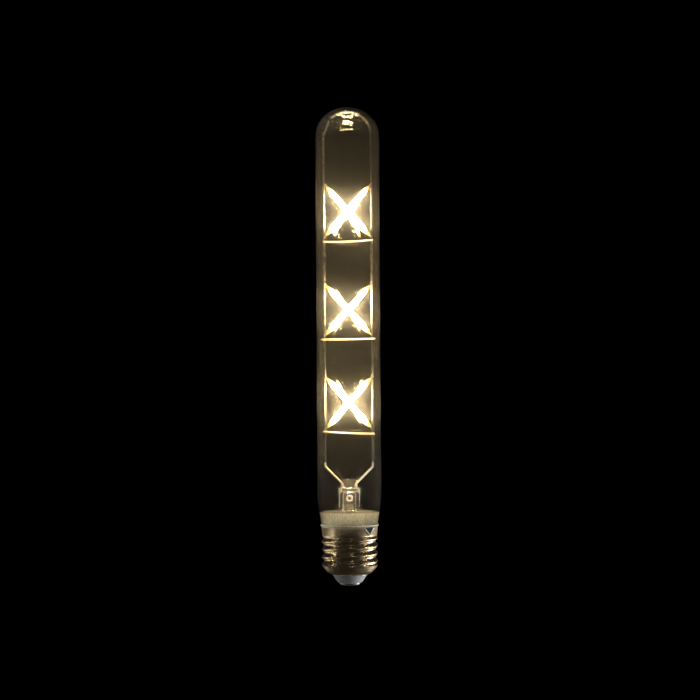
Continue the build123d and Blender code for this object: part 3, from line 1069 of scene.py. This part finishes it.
def make_world():
    world = bpy.data.worlds.new("dark_studio")
    world.use_nodes = True
    bpy.context.scene.world = world
    tree = world.node_tree
    fill = tree.nodes["Background"]
    fill.inputs["Color"].default_value = (1, 1, 1, 1)
    fill.inputs["Strength"].default_value = fill_strength
    dark = tree.nodes.new("ShaderNodeBackground")
    dark.inputs["Color"].default_value = (0, 0, 0, 1)
    mix = tree.nodes.new("ShaderNodeMixShader")
    tree.links.new(straight_sight(tree), mix.inputs["Fac"])
    tree.links.new(fill.outputs["Background"], mix.inputs[1])
    tree.links.new(dark.outputs["Background"], mix.inputs[2])
    tree.links.new(mix.outputs["Shader"], tree.nodes["World Output"].inputs["Surface"])


def make_softbox(name, azimuth, drop, width, tall, brightness, aim=cap_middle, beam=softbox_beam):
    """Softbox aimed at a place on the bulb, from under level, or from over it where drop is negative."""
    reach = softbox_distance * cos(drop)
    place = aim + Vector((sin(azimuth) * reach, -cos(azimuth) * reach, -sin(drop) * softbox_distance))
    bpy.ops.object.light_add(type="AREA", location=place)
    lamp = bpy.context.object
    lamp.name = name
    lamp.visible_transmission = False
    lamp.data.shape = "RECTANGLE"
    lamp.data.size = width
    lamp.data.size_y = tall
    lamp.data.spread = beam
    lamp.data.energy = brightness * pi * width * tall
    lamp.rotation_euler = (aim - place).to_track_quat("-Z", "Y").to_euler()


def make_camera():
    bpy.ops.object.camera_add(
        location=(camera_side, -camera_distance, camera_level), rotation=(pi / 2, camera_roll, 0))
    camera = bpy.context.object
    camera.name = "photo_camera"
    camera.data.sensor_width = sensor_width
    camera.data.lens = sensor_width * camera_distance / (photo_pixels * photo_scale)
    bpy.context.scene.camera = camera


# Places on the front of the neck, rim band and thread that narrow lamps are aimed at
neck_front = Vector((0, -12.5 * mm, 32.6 * mm))
band_left = Vector((-9.0 * mm, -9.7 * mm, 26.0 * mm))
band_right = Vector((8.0 * mm, -10.5 * mm, 26.0 * mm))
thread_left = Vector((-9.2 * mm, -8.4 * mm, 12.5 * mm))
thread_right = Vector((8.0 * mm, -9.6 * mm, 12.5 * mm))
thread_front = Vector((0, -12.5 * mm, 12.5 * mm))
make_floor()
make_world()
make_softbox(
    "right_upper_softbox", azimuth=radians(78), drop=radians(26),
    width=0.16, tall=0.06, brightness=0.8)
make_softbox(
    "right_lower_softbox", azimuth=radians(80), drop=radians(50),
    width=0.16, tall=0.06, brightness=0.4)
make_softbox(
    "right_rim_softbox", azimuth=radians(118), drop=radians(29),
    width=0.30, tall=0.12, brightness=4.2)
make_softbox(
    "left_upper_softbox", azimuth=radians(-80), drop=radians(26),
    width=0.24, tall=0.06, brightness=0.4)
make_softbox(
    "left_rim_softbox", azimuth=radians(-122), drop=radians(29),
    width=0.30, tall=0.12, brightness=0.5)
make_softbox(
    "right_high_softbox", azimuth=radians(78), drop=radians(-30),
    width=0.16, tall=0.06, brightness=0.08, aim=thread_right, beam=radians(3))
make_softbox(
    "left_high_softbox", azimuth=radians(-80), drop=radians(-30),
    width=0.20, tall=0.06, brightness=0.08, aim=thread_left, beam=radians(3))
make_softbox(
    "front_softbox", azimuth=radians(8), drop=radians(-36),
    width=0.30, tall=0.02, brightness=0.02, aim=thread_front, beam=radians(2.4))
make_softbox(
    "neck_softbox", azimuth=radians(-10), drop=radians(-33),
    width=0.06, tall=0.004, brightness=1.6, aim=neck_front, beam=radians(1.0))
make_softbox(
    "left_band_softbox", azimuth=radians(-84), drop=radians(24),
    width=0.16, tall=0.02, brightness=0.20, aim=band_left, beam=radians(4))
make_softbox(
    "right_band_softbox", azimuth=radians(74), drop=radians(24),
    width=0.10, tall=0.02, brightness=0.05, aim=band_right, beam=radians(4))
make_camera()
bpy.context.scene.view_settings.view_transform = "Standard"
bpy.context.scene.cycles.sample_clamp_indirect = 0
